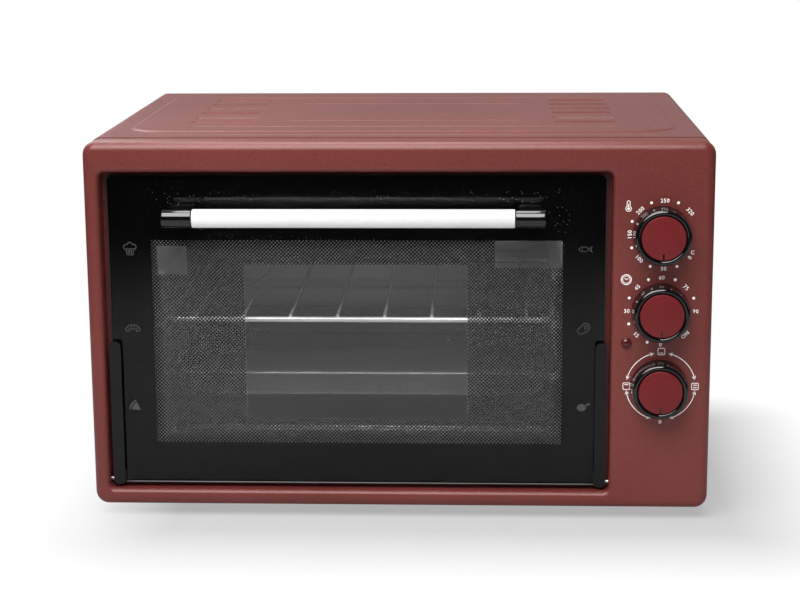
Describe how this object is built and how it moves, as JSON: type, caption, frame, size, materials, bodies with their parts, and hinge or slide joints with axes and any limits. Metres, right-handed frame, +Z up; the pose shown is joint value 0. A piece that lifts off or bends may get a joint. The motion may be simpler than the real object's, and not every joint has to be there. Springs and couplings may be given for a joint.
{
  "type": "mini oven",
  "caption": "Counter-top electric mini oven with a drop-down glass door, straight bar handle, rotary controls, wire shelf and baking tray.",
  "frame": {"origin": "on the counter, under the middle of the whole oven's box", "axes": "+X to the right seen from the front, +Y from the front to the back, +Z up"},
  "size_m": [0.52, 0.4238, 0.3226],
  "materials": {
    "red_paint": "satin metallic red-brown paint on pressed steel",
    "red_cap": "satin dark red disc",
    "glass": "tempered glass with a black printed screen of clear dots",
    "black_plastic": "glossy black moulding",
    "matt_black": "matt black moulding",
    "white_lacquer": "glossy white lacquered tube",
    "grey_steel": "aluminised grey steel sheet",
    "zinc": "zinc-plated steel",
    "chrome": "chromed steel wire",
    "black_enamel": "black enamelled steel",
    "element_steel": "heat-stained steel sheath",
    "ceramic": "unglazed white ceramic",
    "red_lens": "dark red lamp lens",
    "switch_plastic": "cream switch moulding",
    "copper": "bare copper",
    "rubber": "matt black rubber"
  },
  "bodies": {
    "case": {"front_frame": "red_paint", "outer_wrapper": "red_paint", "back_panel": "zinc", "base_panel": "zinc", "back_screw_low_left": "zinc", "back_screw_low_right": "zinc", "back_screw_high_left": "zinc", "back_screw_high_right": "zinc", "hinge_pin_left": "zinc", "hinge_pin_right": "zinc", "foot_front_left": "rubber", "foot_front_right": "rubber", "foot_back_left": "rubber", "foot_back_right": "rubber", "cavity_left_wall": "grey_steel", "cavity_right_wall": "grey_steel", "cavity_floor": "grey_steel", "cavity_ceiling": "grey_steel", "cavity_back_wall": "grey_steel", "element_lower_front": "element_steel", "element_lower_back": "element_steel", "element_upper_front": "element_steel", "element_upper_back": "element_steel", "bush_lower_front_left": "ceramic", "bush_lower_front_right": "ceramic", "bush_lower_back_left": "ceramic", "bush_lower_back_right": "ceramic", "bush_upper_front_left": "ceramic", "bush_upper_front_right": "ceramic", "bush_upper_back_left": "ceramic", "bush_upper_back_right": "ceramic", "cord_inlet_bush": "matt_black", "pilot_lamp": "red_lens", "thermostat_body": "switch_plastic", "timer_body": "switch_plastic", "selector_body": "switch_plastic", "terminal_block": "switch_plastic", "thermostat_bulb": "copper"},
    "door": {"door_glass": "glass", "door_bracket_left": "matt_black", "door_bracket_right": "matt_black", "door_stay_left": "zinc", "door_stay_right": "zinc", "handle_bar": "white_lacquer", "handle_post_left": "black_plastic", "handle_post_right": "black_plastic", "handle_screw_left": "zinc", "handle_screw_right": "zinc"},
    "thermostat_control": {"thermostat_knob": "black_plastic", "thermostat_cap": "red_cap", "thermostat_shaft": "zinc"},
    "timer_control": {"timer_knob": "black_plastic", "timer_cap": "red_cap", "timer_shaft": "zinc"},
    "selector_control": {"selector_knob": "black_plastic", "selector_cap": "red_cap", "selector_shaft": "zinc"},
    "rack": {"wire_rack": "chrome"},
    "tray": {"baking_tray": "black_enamel"}
  },
  "joints": [
    {"name": "door_hinge", "type": "hinge", "parent": "case", "child": "door", "pos_m": [-0.035, -0.1752, 0.0305], "axis": [1, 0, 0], "range_deg": [0, 86], "stiffness_Nm_per_rad": 0.5, "springref_deg": -11.46},
    {"name": "thermostat_turn", "type": "hinge", "parent": "case", "child": "thermostat_control", "pos_m": [0.217, -0.1862, 0.2451], "axis": [0, 1, 0], "range_deg": [-45, 228]},
    {"name": "timer_turn", "type": "hinge", "parent": "case", "child": "timer_control", "pos_m": [0.217, -0.1862, 0.1806], "axis": [0, 1, 0], "range_deg": [-45, 270]},
    {"name": "selector_turn", "type": "hinge", "parent": "case", "child": "selector_control", "pos_m": [0.217, -0.1862, 0.1161], "axis": [0, 1, 0], "continuous": true},
    {"name": "rack_slide", "type": "slide", "parent": "case", "child": "rack", "axis": [0, -1, 0], "range_m": [-0.02, 0.013]},
    {"name": "tray_slide", "type": "slide", "parent": "case", "child": "tray", "axis": [0, -1, 0], "range_m": [-0.02, 0.013]}
  ]
}
